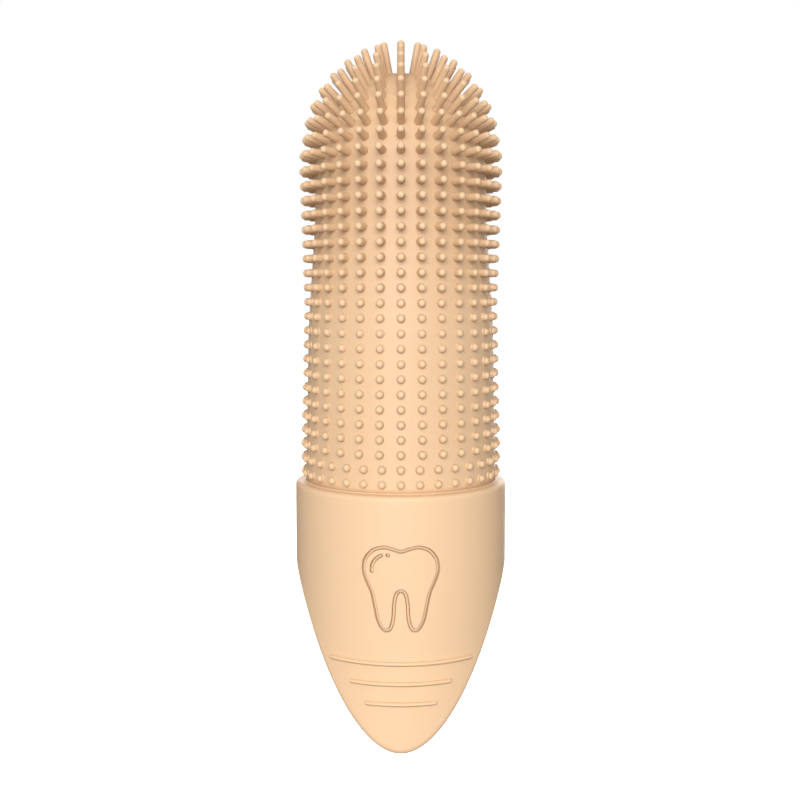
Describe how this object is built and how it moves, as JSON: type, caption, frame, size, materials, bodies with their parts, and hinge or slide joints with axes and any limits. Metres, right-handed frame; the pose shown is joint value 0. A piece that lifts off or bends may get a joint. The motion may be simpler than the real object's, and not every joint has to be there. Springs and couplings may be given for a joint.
{
  "type": "finger toothbrush for pets",
  "caption": "Soft silicone toothbrush worn over a finger: bristled sleeve and dome, plain cuff with a ribbed pull tongue.",
  "frame": {"origin": "centre of the finger's way in, on the plane of the cuff's back rim", "axes": "+Z along the finger to the bristled dome, -Y the palm side with the tongue, +X to the wearer's side"},
  "size_m": [0.025, 0.0254, 0.0801],
  "materials": {
    "silicone": "satin, slightly translucent soft silicone"
  },
  "bodies": {
    "sleeve": {"cuff": "silicone", "bristle_band_01": "silicone", "bristle_band_02": "silicone", "bristle_band_03": "silicone", "bristle_band_04": "silicone", "bristle_band_05": "silicone", "bristle_band_06": "silicone"},
    "fingertip": {"bristle_band_07": "silicone", "bristle_band_08": "silicone", "bristle_band_09": "silicone", "bristle_band_10": "silicone", "bristle_band_11": "silicone", "crown_ring_1": "silicone", "crown_ring_2": "silicone", "crown_ring_3": "silicone", "crown_ring_4": "silicone", "crown_ring_5": "silicone", "crown_ring_6": "silicone", "crown_cap": "silicone"},
    "tongue": {"pull_tab": "silicone", "tab_rib_1": "silicone", "tab_rib_2": "silicone", "tab_rib_3": "silicone"}
  },
  "joints": [
    {"name": "fingertip_flex", "type": "hinge", "parent": "sleeve", "child": "fingertip", "pos_m": [0, -0.01085, 0.0302], "axis": [1, 0, 0], "range_deg": [0, 30], "stiffness_Nm_per_rad": 0.12},
    {"name": "tab_flex", "type": "hinge", "parent": "sleeve", "child": "tongue", "pos_m": [0, -0.0126, -0.0071], "axis": [-1, 0, 0], "range_deg": [0, 35], "stiffness_Nm_per_rad": 0.02}
  ]
}
